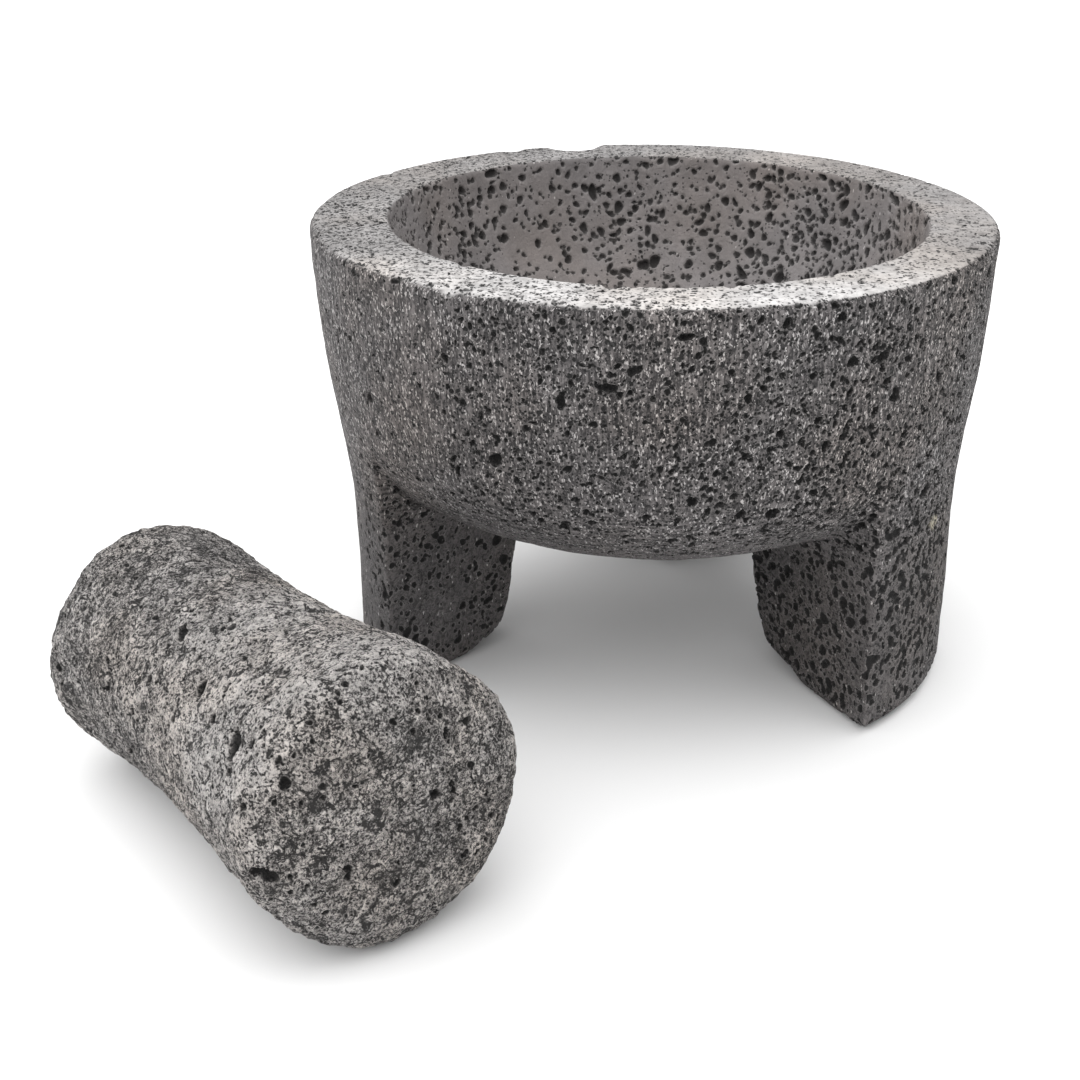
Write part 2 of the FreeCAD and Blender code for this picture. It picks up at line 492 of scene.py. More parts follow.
def chip_rim(stone):
    """Single larger chips out of the rim's edges."""
    for bearing, out, size, sunk in RIM_CHIPS:
        place = bearing_point(bearing, out * RIM_RADIUS, RIM_HEIGHT)
        away = np.linalg.norm((stone.points - place) * np.array([1.0, 1.0, 1.6]), axis=1)
        stone.points[:, 2] -= sunk * below(away, (0.35 * size, size))


def rim_mask(stone, normals):
    """1 on the flat ground rim, 0 elsewhere."""
    _, height, _ = around_mortar(stone.points)
    return ramp(height, *RIM_TOP) * ramp(normals[:, 2], 0.7, 0.9)


def hollow_mask(stone):
    """1 inside the hollow, 0 elsewhere."""
    radius, height, _ = around_mortar(stone.points)
    return below(radius, HOLLOW_MOUTH) * ramp(height, *HOLLOW_FLOOR)


def leg_mask(stone):
    """1 on the legs, 0 up on the wall."""
    return below(stone.points[:, 2], LEG_TO_WALL)


def mortar_crowding(stone, rim, hollow, seed):
    """How close the bubbles lie, 0 to 1: most low on the right and in the hollow."""
    _, height, right = around_mortar(stone.points)
    patches = layered_noise(stone.points, 26 * MM, 2, seed + 20)
    low = 1.0 - height / RIM_HEIGHT
    outside = 0.4 + 0.24 * low + 0.34 * right + 0.26 * patches - 0.2 * leg_mask(stone)
    inside = 0.38 + 0.14 * patches
    crowd = outside * (1.0 - hollow) + inside * hollow
    on_rim = 0.5 - 0.3 * right + 0.2 * patches
    return np.clip(crowd * (1.0 - rim) + on_rim * rim, 0.1, 1.0)


def build_mortar(settings):
    """The mortar as one carved block, with open bubbles and masks for its material."""
    rng = np.random.default_rng(settings.seed)
    stone = Stone("mortar_stone", "mortar", settings.mesh_step)
    exposed = carve_mortar(stone, settings)
    normals = stone.normals()
    rim = rim_mask(stone, normals)
    hollow = hollow_mask(stone) * (1.0 - rim)
    crowd = mortar_crowding(stone, rim, hollow, settings.seed)
    radius, height, right = around_mortar(stone.points)
    leg = leg_mask(stone)
    pores = Pores(stone, normals)
    chosen = choose_pores(crowd, settings.pores, rng)
    radii = settings.pore_radius * np.exp(rng.normal(0.0, 0.36, settings.pores))
    radii *= 1.0 + 0.45 * leg[chosen] + 0.35 * hollow[chosen] - 0.1 * rim[chosen]
    radii *= 1.0 + 0.25 * np.clip(right[chosen], 0.0, 1.0)
    pores.scatter(chosen, np.clip(radii, 0.36 * MM, 2.0 * MM), rng)
    places = [(bearing_point(b, 0.97 * RIM_RADIUS, z), r) for b, z, r in MORTAR_BUBBLES]
    pores.open_by_hand(places, rng)
    stone.push(normals, -pores.depth * (1.0 - 0.45 * leg))
    stone.points[:, 2] = np.maximum(stone.points[:, 2], 0.0)
    stone.write()
    wall = ramp(height, *DRESSED_WALL) * ramp(radius, 0.9 * RIM_RADIUS, 0.94 * RIM_RADIUS)
    # Painted sheen: the front of the rim, towards the camera, gets the palest colour.
    front = ramp(MORTAR_AXIS.y - stone.points[:, 1], 0.2 * RIM_RADIUS, 0.95 * RIM_RADIUS)
    front = np.clip(front + 0.3 * smooth_noise(stone.points, 25 * MM, 5), 0.0, 1.0)
    from_pebble = np.linalg.norm(stone.points - bearing_point(*PEBBLE), axis=1)
    stone.keep(
        pore=pores.inside,
        crowd=crowd,
        rim=rim,
        hollow=hollow,
        exposed=exposed,
        hatch=wall * (1.0 - rim),
        turned=ramp(height, *TURNED_START) * below(height, TURNED_END) * (1.0 - hollow),
        leg=leg,
        fresh=rim * front,
        pebble=below(from_pebble, PEBBLE_EDGE),
    )
    return stone.object


# ---- Pestle ----

PESTLE_BEARING = math.radians(40.6)
PESTLE_HOLLOWS = (
    # along the axis from the middle, angle from the top, width, depth
    (-60 * MM, 38.0, 26 * MM, 2.6 * MM),
    (-56 * MM, -128.0, 24 * MM, 1.8 * MM),
    (62 * MM, -60.0, 26 * MM, 1.2 * MM),
)
PESTLE_BUBBLES = (
    # along the axis from the middle, angle from the top, radius
    (-41 * MM, -58.0, 3.6 * MM),
    (-44 * MM, -66.0, 1.6 * MM),
    (-66 * MM, -58.0, 1.6 * MM),
    (-64 * MM, -97.0, 2.4 * MM),
    (7.5 * MM, -36.0, 2.0 * MM),
    (-4 * MM, -20.0, 1.3 * MM),
    (36 * MM, 6.0, 1.6 * MM),
)


def pestle_point(along, angle, radius=36 * MM):
    """A point about the pestle's axis. Positive angles turn from the top to the back."""
    turn = math.radians(angle)
    axis = Vector((-math.sin(PESTLE_BEARING), math.cos(PESTLE_BEARING), 0.0))
    back = Vector((math.cos(PESTLE_BEARING), math.sin(PESTLE_BEARING), 0.0))
    out = back * math.sin(turn) + Vector((0.0, 0.0, math.cos(turn)))
    return np.array(node_middle("pestle") + axis * along + out * radius)


def build_pestle(settings):
    """The pestle: pecked all over, a little uneven, with a few deep pits."""
    rng = np.random.default_rng(settings.seed)
    stone = Stone("pestle_stone", "pestle", settings.mesh_step)
    stone.relax(stone.everywhere(0.5), settings.edge_wear)
    normals = stone.normals()
    slow = layered_noise(stone.points, 38 * MM, 2, settings.seed)
    pecked = layered_noise(stone.points, 6 * MM, 3, settings.seed + 10)
    grain = layered_noise(stone.points, 1.8 * MM, 2, settings.seed + 30)
    stone.push(normals, slow * settings.wave + pecked * settings.pecking)
    for along, angle, width, sunk in PESTLE_HOLLOWS:
        away = np.linalg.norm(stone.points - pestle_point(along, angle), axis=1)
        stone.push(normals, -sunk * below(away, (0.0, width)))
    normals = stone.normals()
    crowd = 0.5 + 0.5 * layered_noise(stone.points, 22 * MM, 2, settings.seed + 20)
    crowd = np.clip(crowd, 0.1, 1.0)
    pores = Pores(stone, normals)
    radii = settings.pore_radius * np.exp(rng.normal(0.0, 0.42, settings.pores))
    pores.scatter(choose_pores(crowd, settings.pores, rng), np.clip(radii, 0.4 * MM, 2.0 * MM), rng)
    pores.open_by_hand([(pestle_point(s, a), r) for s, a, r in PESTLE_BUBBLES], rng)
    stone.push(normals, grain * settings.grain - pores.depth)
    stone.points[:, 2] = np.maximum(stone.points[:, 2], 0.0)
    stone.write()
    axis = pestle_point(1.0, 0.0) - pestle_point(0.0, 0.0)
    along = (stone.points - np.array(node_middle("pestle"))) @ axis
    # Painted light: lighter on the upward faces towards one end, less on that end's face, with some slow
    # random change.
    bruise = ramp(-along, -62 * MM, 30 * MM) * ramp(normals[:, 2], -0.6, 0.7)
    bruise *= 1.0 - 0.8 * ramp(-(normals @ axis), 0.35, 0.85)
    stone.keep(
        pore=pores.inside,
        crowd=crowd,
        # Painted shade: hump follows the mesh's grain and pecking; the material lightens the raised
        # places and darkens the low ones.
        hump=np.clip(0.5 + 0.4 * grain + 0.3 * pecked, 0.0, 1.0),
        bruised=np.clip(bruise + 0.25 * slow, 0.0, 1.0),
    )
    return stone.object


# ---- Node helpers ----

class Nodes:
    """Short calls for building one node tree."""

    def __init__(self, tree):
        self.tree = tree

    def add(self, kind, **values):
        """A node with its own settings and input values or links by socket name."""
        node = self.tree.nodes.new("ShaderNode" + kind)
        inputs = values.pop("inputs", {})
        for name, value in values.items():
            setattr(node, name, value)
        for name, value in inputs.items():
            self.feed(node.inputs[name], value)
        return node

    def feed(self, socket, value):
        """Link an output to a socket, or set the socket's own value."""
        if isinstance(value, bpy.types.NodeSocket):
            self.tree.links.new(value, socket)
        else:
            socket.default_value = value

    def math(self, operation, first, second=0.0, clamp=False):
        """Result of one Math node."""
        node = self.tree.nodes.new("ShaderNodeMath")
        node.operation = operation
        node.use_clamp = clamp
        self.feed(node.inputs[0], first)
        self.feed(node.inputs[1], second)
        return node.outputs[0]

    def times(self, first, second):
        """first * second."""
        return self.math("MULTIPLY", first, second)

    def less(self, value, amount):
        """1 - value * amount."""
        return self.math("SUBTRACT", 1.0, self.times(value, amount))

    def total(self, *parts, start=0.0, clamp=False):
        """start, plus each value times its own amount."""
        for value, amount in parts:
            node = self.tree.nodes.new("ShaderNodeMath")
            node.operation = "MULTIPLY_ADD"
            for index, item in enumerate((value, amount, start)):
                self.feed(node.inputs[index], item)
            start = node.outputs[0]
        node.use_clamp = clamp
        return start

    def mix(self, share, first, second, blend="MIX"):
        """Result of one colour mix."""
        node = self.tree.nodes.new("ShaderNodeMix")
        node.data_type = "RGBA"
        node.blend_type = blend
        self.feed(node.inputs[0], share)
        self.feed(node.inputs[6], first)
        self.feed(node.inputs[7], second)
        return node.outputs[2]

    def blend(self, share, first, second):
        """A number between first and second."""
        node = self.tree.nodes.new("ShaderNodeMix")
        for index, item in ((0, share), (2, first), (3, second)):
            self.feed(node.inputs[index], item)
        return node.outputs[0]

    def span(self, value, start, end, low=0.0, high=1.0):
        """Map Range, eased and held between its ends."""
        node = self.tree.nodes.new("ShaderNodeMapRange")
        node.interpolation_type = "SMOOTHSTEP"
        for index, item in enumerate((value, start, end, low, high)):
            self.feed(node.inputs[index], item)
        return node.outputs[0]

    def noise(self, vector, scale, detail=2.0, roughness=0.5, distortion=0.0):
        """Value of one noise texture."""
        node = self.add("TexNoise", inputs={"Vector": vector, "Scale": scale, "Detail": detail,
                                            "Roughness": roughness, "Distortion": distortion})
        return node.outputs["Fac"]

    def attribute(self, name):
        """A value that is stored on the mesh."""
        return self.add("Attribute", attribute_name=name).outputs["Fac"]

    def moved(self, operation, vector, change):
        """Result of one Vector Math node."""
        return self.add("VectorMath", operation=operation, inputs={0: vector, 1: change}).outputs[0]

    def group(self, maker, **inputs):
        """Outputs of a shared node group, which its maker builds the first time."""
        node = self.tree.nodes.new("ShaderNodeGroup")
        node.node_tree = bpy.data.node_groups.get(maker.__name__) or maker()
        for label, value in inputs.items():
            self.feed(node.inputs[label], value)
        return node.outputs


VECTOR = "NodeSocketVector"
VALUE = "NodeSocketFloat"
COLOUR = "NodeSocketColor"


def rgba(values):
    """Four numbers from a colour property."""
    return (*values, 1.0)


def new_group(name, inputs, outputs):
    """Empty shader node group: its nodes, its inputs' outlets and its outputs' sockets."""
    tree = bpy.data.node_groups.new(name, "ShaderNodeTree")
    for label, kind, default in inputs:
        socket = tree.interface.new_socket(label, in_out="INPUT", socket_type=kind)
        if default is not None:
            socket.default_value = default
    for label, kind in outputs:
        tree.interface.new_socket(label, in_out="OUTPUT", socket_type=kind)
    return Nodes(tree), tree.nodes.new("NodeGroupInput").outputs, tree.nodes.new("NodeGroupOutput").inputs


def uneven_cells(nodes, vector, scale, swirl_size, reach):
    """Cells bent by a small noise: the distance to their middles, and three random numbers each."""
    swirl = nodes.add("TexNoise", inputs={"Vector": vector, "Detail": 1.0,
                                          "Scale": nodes.times(scale, swirl_size)})
    centred = nodes.moved("SUBTRACT", swirl.outputs["Color"], (0.5, 0.5, 0.5))
    shift = nodes.add("VectorMath", operation="SCALE",
                      inputs={0: centred, "Scale": nodes.math("DIVIDE", reach, scale)})
    bent = nodes.moved("ADD", vector, shift.outputs[0])
    cells = nodes.add("TexVoronoi", inputs={"Vector": bent, "Scale": scale}).outputs
    return cells["Distance"], nodes.add("SeparateColor", inputs={"Color": cells["Color"]}).outputs


def broken_lines(nodes, field, widths, breaks, start, fade):
    """Thin lines along the middle value of one noise, broken up by another noise."""
    away = nodes.math("ABSOLUTE", nodes.math("SUBTRACT", field, 0.5))
    return nodes.times(nodes.span(away, *widths),
                       nodes.span(breaks, start, nodes.math("ADD", start, fade)))


def basalt_grain():
    """Packed mineral grains of uneven brightness with gaps painted dark, and short bright crystals. The
    tone is partly painted shade: the middles and clumps that are raised in the height are lighter.
    """
    nodes, given, out = new_group(
        "basalt_grain",
        [("Vector", VECTOR, None), ("Scale", VALUE, 1500.0), ("Flecks", VALUE, 0.5)],
        [("Tone", VALUE), ("Fleck", VALUE), ("Height", VALUE)])
    vector, scale, flecks = given["Vector"], given["Scale"], given["Flecks"]
    away, pick = uneven_cells(nodes, vector, scale, 1.3, 1.1)
    middle = nodes.span(away, 0.72, 0.2)
    clumps = nodes.noise(vector, nodes.times(scale, 0.24), 3.0, 0.6)
    # Partly painted shade: raised middles and clumps are lighter, low gaps darker.
    tone = nodes.total((pick[0], 0.42), (middle, 0.33), (nodes.span(clumps, 0.35, 0.65), 0.25))
    thread = nodes.noise(vector, nodes.times(scale, 0.5), 1.0, 0.6)
    breaks = nodes.noise(vector, nodes.times(scale, 0.7), 1.0)
    start = nodes.total((flecks, -0.4), start=0.78)
    lath = broken_lines(nodes, thread, (0.06, 0.02), breaks, start, 0.05)
    spot = nodes.times(nodes.math("GREATER_THAN", pick[1], nodes.less(flecks, 0.2)), middle)
    raised = nodes.times(middle, nodes.total((pick[2], 0.7), start=0.3))
    nodes.feed(out["Tone"], tone)
    nodes.feed(out["Fleck"], nodes.math("MAXIMUM", lath, spot))
    nodes.feed(out["Height"], nodes.total((clumps, 0.8), start=raised))
    return nodes.tree


def basalt_flakes():
    """Flaky, torn relief of pecked stone: its tone, which follows the height as painted shade in the low
    places, its thin cracks, painted dark as shade, and its height.
    """
    nodes, given, out = new_group(
        "basalt_flakes",
        [("Vector", VECTOR, None), ("Scale", VALUE, 520.0), ("Cracks", VALUE, 0.5)],
        [("Tone", VALUE), ("Crack", VALUE), ("Height", VALUE)])
    vector, scale = given["Vector"], given["Scale"]
    torn = nodes.noise(vector, scale, 4.0, 0.72, 1.3)
    seam = nodes.noise(vector, nodes.times(scale, 0.6), 2.0, 0.5, 0.8)
    breaks = nodes.noise(vector, nodes.times(scale, 0.8), 1.0)
    start = nodes.total((given["Cracks"], -0.4), start=0.75)
    crack = broken_lines(nodes, seam, (0.045, 0.008), breaks, start, 0.08)
    # Painted shade: the tone is the height, darker in the low places.
    nodes.feed(out["Tone"], nodes.span(torn, 0.34, 0.66))
    nodes.feed(out["Crack"], crack)
    nodes.feed(out["Height"], nodes.total((crack, -0.3), start=torn))
    return nodes.tree


def basalt_bubbles():
    """Small uneven bubbles, too fine for the mesh. Depth is in millimetres."""
    nodes, given, out = new_group(
        "basalt_bubbles",
        [("Vector", VECTOR, None), ("Spacing", VALUE, 2.0), ("Smallest", VALUE, 0.16),
         ("Largest", VALUE, 0.34), ("Share", VALUE, 0.5)],
        [("Hole", VALUE), ("Depth", VALUE)])
    spacing, smallest = given["Spacing"], given["Smallest"]
    away, pick = uneven_cells(nodes, given["Vector"], nodes.math("DIVIDE", 1000.0, spacing), 2.3, 0.42)
    open_cell = nodes.math("LESS_THAN", pick[0], given["Share"])
    size = nodes.total((pick[1], nodes.math("SUBTRACT", given["Largest"], smallest)), start=smallest)
    inside = nodes.math("SUBTRACT", size, away)
    bowl = nodes.math("SUBTRACT", nodes.times(size, size), nodes.times(away, away))
    bowl = nodes.math("SQRT", nodes.math("MAXIMUM", bowl, 0.0))
    nodes.feed(out["Hole"], nodes.times(open_cell, nodes.span(inside, 0.0, 0.07)))
    nodes.feed(out["Depth"], nodes.times(nodes.times(bowl, spacing), open_cell))
    return nodes.tree


def basalt_tint():
    """Slow drift of the stone's hue between its cooler and warmer grey, and of its tone."""
    nodes, given, out = new_group(
        "basalt_tint",
        [("Vector", VECTOR, None), ("Scale", VALUE, 28.0),
         ("Cool", COLOUR, (0.985, 0.995, 1.005, 1.0)), ("Warm", COLOUR, (1.04, 1.0, 0.96, 1.0))],
        [("Tint", COLOUR), ("Tone", VALUE)])
    drift = nodes.noise(given["Vector"], given["Scale"], 3.0, 0.55)
    blotch = nodes.noise(given["Vector"], nodes.times(given["Scale"], 3.7))
    nodes.feed(out["Tint"], nodes.mix(nodes.span(drift, 0.38, 0.68), given["Cool"], given["Warm"]))
    nodes.feed(out["Tone"], nodes.span(blotch, 0.3, 0.7, 0.88, 1.1))
    return nodes.tree


def new_material(name):
    """Empty node material: its nodes and its Principled shader."""
    material = bpy.data.materials.new(name)
    material.use_nodes = True
    material.node_tree.nodes.clear()
    nodes = Nodes(material.node_tree)
    shader = nodes.add("BsdfPrincipled")
    nodes.add("OutputMaterial", inputs={"Surface": shader.outputs[0]})
    return material, nodes, shader


# ---- Materials ----

def pore_masks(nodes, place):
    """Masks of the mesh's own pores, with ragged edges: whole hole, its deep middle and its lip, which
    gets a painted highlight.
    """
    ragged = nodes.math("SUBTRACT", nodes.noise(place, 1500.0), 0.5)
    inside = nodes.total((ragged, 0.45 * MM), start=nodes.attribute("pore"))
    edge = nodes.span(inside, -0.05 * MM, 0.12 * MM)
    lip_highlight = nodes.times(nodes.span(inside, -0.4 * MM, -0.05 * MM), nodes.less(edge, 1.0))
    return edge, nodes.span(inside, 0.0, 0.5 * MM), lip_highlight


def merged_bubbles(nodes, place, *layers):
    """Several sizes of shader bubbles: their mask and their depth in millimetres.

    A layer is its spacing in millimetres, the share of its cells that are open, and its smallest
    and largest radius over the spacing.
    """
    hole = depth = 0.0
    for spacing, share, smallest, largest in layers:
        layer = nodes.group(basalt_bubbles, Vector=place, Spacing=spacing, Share=share,
                            Smallest=smallest, Largest=largest)
        hole = nodes.math("MAXIMUM", hole, layer["Hole"])
        depth = nodes.math("MAXIMUM", depth, layer["Depth"])
    return hole, depth


def shaded(nodes, tone, *holes):
    """The tone darkened by each mask, by its own amount: painted shade in the holes."""
    for mask, amount in holes:
        tone = nodes.times(tone, nodes.less(mask, amount))
    return tone


def finish_stone(nodes, shader, base, shade, rough, height):
    """Give the shader its colour times the shade (random tone and painted shade in the holes), its
    roughness and its relief in millimetres.
    """
    grey = nodes.add("CombineColor", inputs={0: shade, 1: shade, 2: shade}).outputs[0]
    bump = nodes.add("Bump", inputs={"Height": height, "Distance": 1.0 * MM, "Strength": 1.0})
    nodes.feed(shader.inputs["Base Color"], nodes.mix(1.0, base, grey, "MULTIPLY"))
    nodes.feed(shader.inputs["Roughness"], rough)
    nodes.feed(shader.inputs["Normal"], bump.outputs[0])


def tool_marks(nodes, place, squeeze):
    """Fine scratches from dressing the wall, drawn out along the squeezed directions."""
    return nodes.math("SUBTRACT", nodes.noise(nodes.moved("MULTIPLY", place, squeeze), 1300.0), 0.5)


def mortar_colour(nodes, settings, place, masks, grain, flakes, hatch, tint):
    """Colour of the mortar's surface before the painted shade in its pores darkens it."""
    # Partly painted shade: the flakes' tone is darker in their low places.
    tone = nodes.total((grain["Tone"], 0.75), (flakes["Tone"], 0.25), (hatch, 1.8), clamp=True)
    leg_tone = nodes.total((flakes["Tone"], 0.3), (tone, 0.2), start=0.22)
    tone = nodes.blend(masks["leg"], tone, leg_tone)
    tone = nodes.total((masks["turned"], 0.08), (masks["exposed"], 0.4), start=tone, clamp=True)
    # Painted shade in the cracks.
    tone = nodes.total((flakes["Crack"], -0.5), start=tone, clamp=True)
    streaks = nodes.span(nodes.noise(place, 330.0, 4.0, 0.7), 0.36, 0.6, 0.55, 1.0)
    base = nodes.mix(nodes.span(tone, 0.12, 0.88), rgba(settings.dark), rgba(settings.light))
    base = nodes.mix(nodes.times(masks["hollow"], 0.8), base, rgba(settings.rubbed))
    base = nodes.mix(nodes.times(masks["rim"], streaks), base, rgba(settings.ground))
    # Painted sheen on the front of the rim, towards the camera.
    base = nodes.mix(nodes.times(masks["fresh"], streaks), base, rgba(settings.fresh))
    base = nodes.mix(nodes.times(grain["Fleck"], 0.85), base, rgba(settings.fleck))
    base = nodes.mix(1.0, base, tint["Tint"], "MULTIPLY")
    return nodes.mix(nodes.attribute("pebble"), base, rgba(PEBBLE_COLOUR))


def mortar_bubbles(nodes, place, masks, rubbed):
    """The mortar's shader bubbles in three sizes."""
    worn = nodes.math("MAXIMUM", masks["hollow"], masks["leg"])
    share = nodes.total((masks["crowd"], 1.1), (masks["rim"], 0.15), (worn, -0.3))
    fine_share = nodes.math("ADD", share, nodes.span(rubbed, 0.0, 1.0, 0.2, 0.0))
    return merged_bubbles(nodes, place, (2.7, share, 0.17, 0.33), (1.6, share, 0.2, 0.4),
                          (0.95, fine_share, 0.24, 0.44))


def mortar_material(settings):
    """Dark basalt: dressed outside, ground pale on the rim, rubbed smooth in the hollow."""
    material, nodes, shader = new_material("mortar_basalt")
    place = nodes.add("TexCoord").outputs["Object"]
    masks = {name: nodes.attribute(name)
             for name in ("rim", "hollow", "crowd", "leg", "exposed", "fresh", "hatch", "turned")}
    hatch = nodes.total((tool_marks(nodes, place, (1.0, 1.0, 0.1)), masks["hatch"]),
                        (tool_marks(nodes, place, (0.12, 0.12, 1.0)), masks["turned"]))
    rubbed = nodes.math("MAXIMUM", masks["rim"], masks["hollow"])
    plain = nodes.math("MAXIMUM", rubbed, nodes.times(masks["leg"], 0.9))
    plain = nodes.total((masks["exposed"], -0.4), start=plain, clamp=True)
    grain = nodes.group(basalt_grain, Vector=nodes.moved("MULTIPLY", place, (1.0, 1.0, 0.5)),
                        Scale=1850.0, Flecks=nodes.total((plain, -0.5), start=0.52))
    tint = nodes.group(basalt_tint, Vector=place, Scale=20.0)
    flakes = nodes.group(basalt_flakes, Vector=place, Scale=620.0,
                         Cracks=nodes.math("SUBTRACT", 0.5, rubbed))
    base = mortar_colour(nodes, settings, place, masks, grain, flakes, hatch, tint)
    small, depth = mortar_bubbles(nodes, place, masks, rubbed)
    edge, middle, lip_highlight = pore_masks(nodes, place)
    # Painted highlight: a pale ring on each pore's lip.
    base = nodes.mix(nodes.times(lip_highlight, 0.4), base, rgba(settings.ground))
    # Painted shade darkens the holes; it is a little weaker in the hollow and on the legs.
    gloom = nodes.less(nodes.math("MAXIMUM", masks["hollow"], nodes.times(masks["leg"], 0.4)), 0.3)
    shade = shaded(nodes, tint["Tone"], (small, nodes.times(gloom, 0.93)),
                   (edge, nodes.times(gloom, 0.72)), (middle, nodes.times(gloom, 0.85)))
    rough = nodes.total((grain["Fleck"], -0.4), (masks["rim"], -0.12), start=0.88)
    height = nodes.total((grain["Height"], nodes.span(rubbed, 0.0, 1.0, 0.2, 0.06)), (hatch, 0.7),
                         (flakes["Height"], nodes.less(rubbed, 0.5)), (depth, -0.85), (edge, -0.35))
    finish_stone(nodes, shader, base, shade, rough, height)
    return material


def pestle_material(settings):
    """Paler basalt, pecked, with bright crystals on the humps, painted light on its upper side towards
    one end and painted shade in its low places and pores.
    """
    material, nodes, shader = new_material("pestle_basalt")
    place = nodes.add("TexCoord").outputs["Object"]
    hump, crowd, bruised = (nodes.attribute(name) for name in ("hump", "crowd", "bruised"))
    coarse = nodes.group(basalt_grain, Vector=place, Scale=1200.0, Flecks=0.45)
    fine = nodes.group(basalt_grain, Vector=place, Scale=2300.0, Flecks=0.4)
    tint = nodes.group(basalt_tint, Vector=place, Scale=30.0, Cool=(0.99, 1.0, 1.01, 1.0),
                       Warm=(1.03, 1.0, 0.97, 1.0))
    flakes = nodes.group(basalt_flakes, Vector=place, Scale=900.0, Cracks=0.8)
    rifts = nodes.group(basalt_flakes, Vector=place, Scale=270.0, Cracks=0.7)
    blotches = nodes.span(nodes.noise(place, 75.0, 3.0, 0.6), 0.35, 0.65, -0.04, 0.05)
    # Painted shade: the flakes' and rifts' tones follow their height, and their cracks are dark.
    tone = nodes.total((coarse["Tone"], 0.2), (fine["Tone"], 0.35), (flakes["Tone"], 0.38),
                       # Painted shade: the humps lighter, the low places between them darker.
                       (hump, 0.2), (rifts["Tone"], 0.12), (flakes["Crack"], -0.4),
                       (rifts["Crack"], -0.45), (blotches, 1.0),
                       # Painted light: lighter on the upper side towards one end.
                       (nodes.span(bruised, 0.0, 1.0, -0.04, 0.12), 1.0))
    base = nodes.mix(nodes.span(tone, 0.34, 0.92), rgba(settings.dark), rgba(settings.light))
    fleck = nodes.math("MAXIMUM", nodes.times(coarse["Fleck"], 0.45), nodes.times(fine["Fleck"], 0.85))
    # Painted glints: more and brighter crystals where the painted light falls.
    fleck = nodes.times(fleck, nodes.span(bruised, 0.0, 1.0, 0.45, 0.9))
    base = nodes.mix(fleck, base, rgba(settings.fleck))
    base = nodes.mix(1.0, base, tint["Tint"], "MULTIPLY")
    small, depth = merged_bubbles(nodes, place, (2.1, nodes.times(crowd, 0.8), 0.16, 0.32),
                                  (1.15, nodes.math("ADD", crowd, 0.2), 0.2, 0.42))
    edge, middle, lip_highlight = pore_masks(nodes, place)
    # Painted highlight: a pale ring on each pore's lip.
    base = nodes.mix(nodes.times(lip_highlight, 0.3), base, rgba(settings.light))
    # Painted shade: the bubbles and the mesh's pores are darkened in colour, most in their middles.
    shade = shaded(nodes, tint["Tone"], (small, 0.86), (edge, 0.7), (middle, 0.85))
    rough = nodes.total((fleck, -0.4), start=0.9)
    height = nodes.total((coarse["Height"], 0.25), (fine["Height"], 0.16), (flakes["Height"], 3.0),
                         (rifts["Height"], 3.0), (depth, -0.75), (edge, -0.3))
    finish_stone(nodes, shader, base, shade, rough, height)
    return material


def plain_material(name, base_colour, roughness):
    """One even matt colour, for the floor."""
    material, _, shader = new_material(name)
    shader.inputs["Base Color"].default_value = rgba(base_colour)
    shader.inputs["Roughness"].default_value = roughness
    return material


# ---- Stage ----

FLOOR_REACH = 12.0
LIGHT_DIRECTION = (0.2, 0.16, -0.95)
SENSOR_WIDTH = 36.0     # millimetres


def build_floor(settings):
    """A wide plain floor that the stones stand on."""
    mesh = bpy.data.meshes.new("floor")
    corners = [(x * FLOOR_REACH, y * FLOOR_REACH, 0.0) for x, y in ((-1, -1), (1, -1), (1, 1), (-1, 1))]
    mesh.from_pydata(corners, [], [(0, 1, 2, 3)])
    floor = bpy.data.objects.new("floor", mesh)
    floor.location.z = -0.2 * MM
    mesh.materials.append(plain_material("floor_paper", settings.floor, 0.95))
    bpy.context.scene.collection.objects.link(floor)


def build_light(settings):
    """Even white surroundings and one very wide soft light from above, a little left of front."""
    world = bpy.data.worlds.new("studio")
    world.use_nodes = True
    background = world.node_tree.nodes["Background"]
    background.inputs["Color"].default_value = (1.0, 1.0, 1.0, 1.0)
    background.inputs["Strength"].default_value = settings.sky
    bpy.context.scene.world = world
    light = bpy.data.lights.new("ceiling", "SUN")
    light.energy = settings.ceiling
    light.angle = settings.ceiling_width
    lamp = bpy.data.objects.new("ceiling", light)
    lamp.rotation_euler = Vector(LIGHT_DIRECTION).to_track_quat("-Z", "Y").to_euler()
    bpy.context.scene.collection.objects.link(lamp)


def build_camera(settings):
    """Camera in front of the mortar, a little to the left of square on."""
    data = bpy.data.cameras.new("camera")
    data.lens = settings.focal_length
    data.sensor_width = SENSOR_WIDTH
    camera = bpy.data.objects.new("camera", data)
    camera.location = (MORTAR_AXIS.x, MORTAR_AXIS.y - settings.camera_distance, settings.camera_height)
    camera.rotation_euler = (math.pi / 2 - settings.camera_pitch, 0.0, settings.camera_turn)
    bpy.context.scene.collection.objects.link(camera)
    bpy.context.scene.camera = camera
    bpy.context.scene.view_settings.view_transform = "Standard"


# ---- Operators and panel ----

def place_stone(stone, node, material):
    """Give a finished stone its material and its place in the frame."""
    stone.data.materials.append(material)
    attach(stone, node)
    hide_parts(node)


class MOLCAJETE_OT_mortar(bpy.types.Operator):
    """Build the mortar: bowl, rim and legs carved from one block"""
    bl_idname = "molcajete.mortar"
    bl_label = "Mortar"

    def execute(self, context):
        settings = context.scene.molcajete_mortar
        stone = build_mortar(settings)
        place_stone(stone, "mortar", mortar_material(settings))
        return {"FINISHED"}


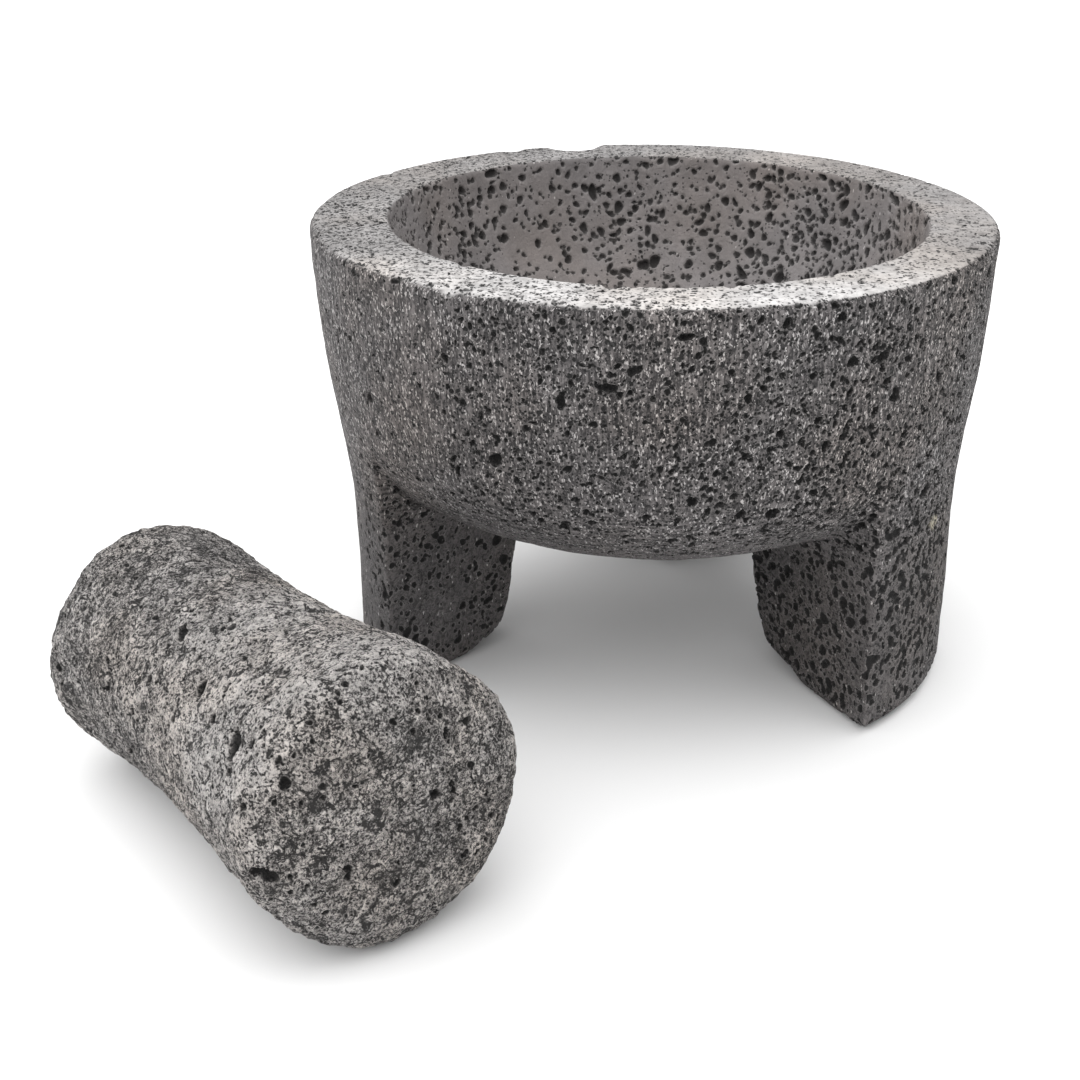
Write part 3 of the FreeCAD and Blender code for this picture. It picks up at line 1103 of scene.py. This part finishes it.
class MOLCAJETE_OT_pestle(bpy.types.Operator):
    """Build the loose pestle"""
    bl_idname = "molcajete.pestle"
    bl_label = "Pestle"

    def execute(self, context):
        settings = context.scene.molcajete_pestle
        stone = build_pestle(settings)
        place_stone(stone, "pestle", pestle_material(settings))
        return {"FINISHED"}


class MOLCAJETE_OT_stage(bpy.types.Operator):
    """Build the floor, the lights and the camera"""
    bl_idname = "molcajete.stage"
    bl_label = "Stage"

    def execute(self, context):
        settings = context.scene.molcajete_stage
        build_camera(settings)
        build_floor(settings)
        build_light(settings)
        return {"FINISHED"}


class MOLCAJETE_PT_panel(bpy.types.Panel):
    """Settings and buttons for each stone and the stage"""
    bl_idname = "MOLCAJETE_PT_panel"
    bl_label = "Molcajete"
    bl_space_type = "VIEW_3D"
    bl_region_type = "UI"
    bl_category = "Molcajete"

    def draw(self, context):
        for operator, group in ((MOLCAJETE_OT_mortar, context.scene.molcajete_mortar),
                                (MOLCAJETE_OT_pestle, context.scene.molcajete_pestle),
                                (MOLCAJETE_OT_stage, context.scene.molcajete_stage)):
            box = self.layout.box()
            for name in group.__annotations__:
                box.prop(group, name)
            box.operator(operator.bl_idname)


CLASSES = (MortarSettings, PestleSettings, StageSettings, MOLCAJETE_OT_mortar,
           MOLCAJETE_OT_pestle, MOLCAJETE_OT_stage, MOLCAJETE_PT_panel)


def register():
    """Register the classes and hang the settings on the scene."""
    for item in CLASSES:
        bpy.utils.register_class(item)
    bpy.types.Scene.molcajete_mortar = PointerProperty(type=MortarSettings)
    bpy.types.Scene.molcajete_pestle = PointerProperty(type=PestleSettings)
    bpy.types.Scene.molcajete_stage = PointerProperty(type=StageSettings)


def unregister():
    """Take the settings off the scene and unregister the classes."""
    del bpy.types.Scene.molcajete_stage
    del bpy.types.Scene.molcajete_pestle
    del bpy.types.Scene.molcajete_mortar
    for item in reversed(CLASSES):
        bpy.utils.unregister_class(item)


def main():
    """Build everything."""
    register()
    bpy.ops.molcajete.stage()
    bpy.ops.molcajete.mortar()
    bpy.ops.molcajete.pestle()


if __name__ == "__main__":
    main()
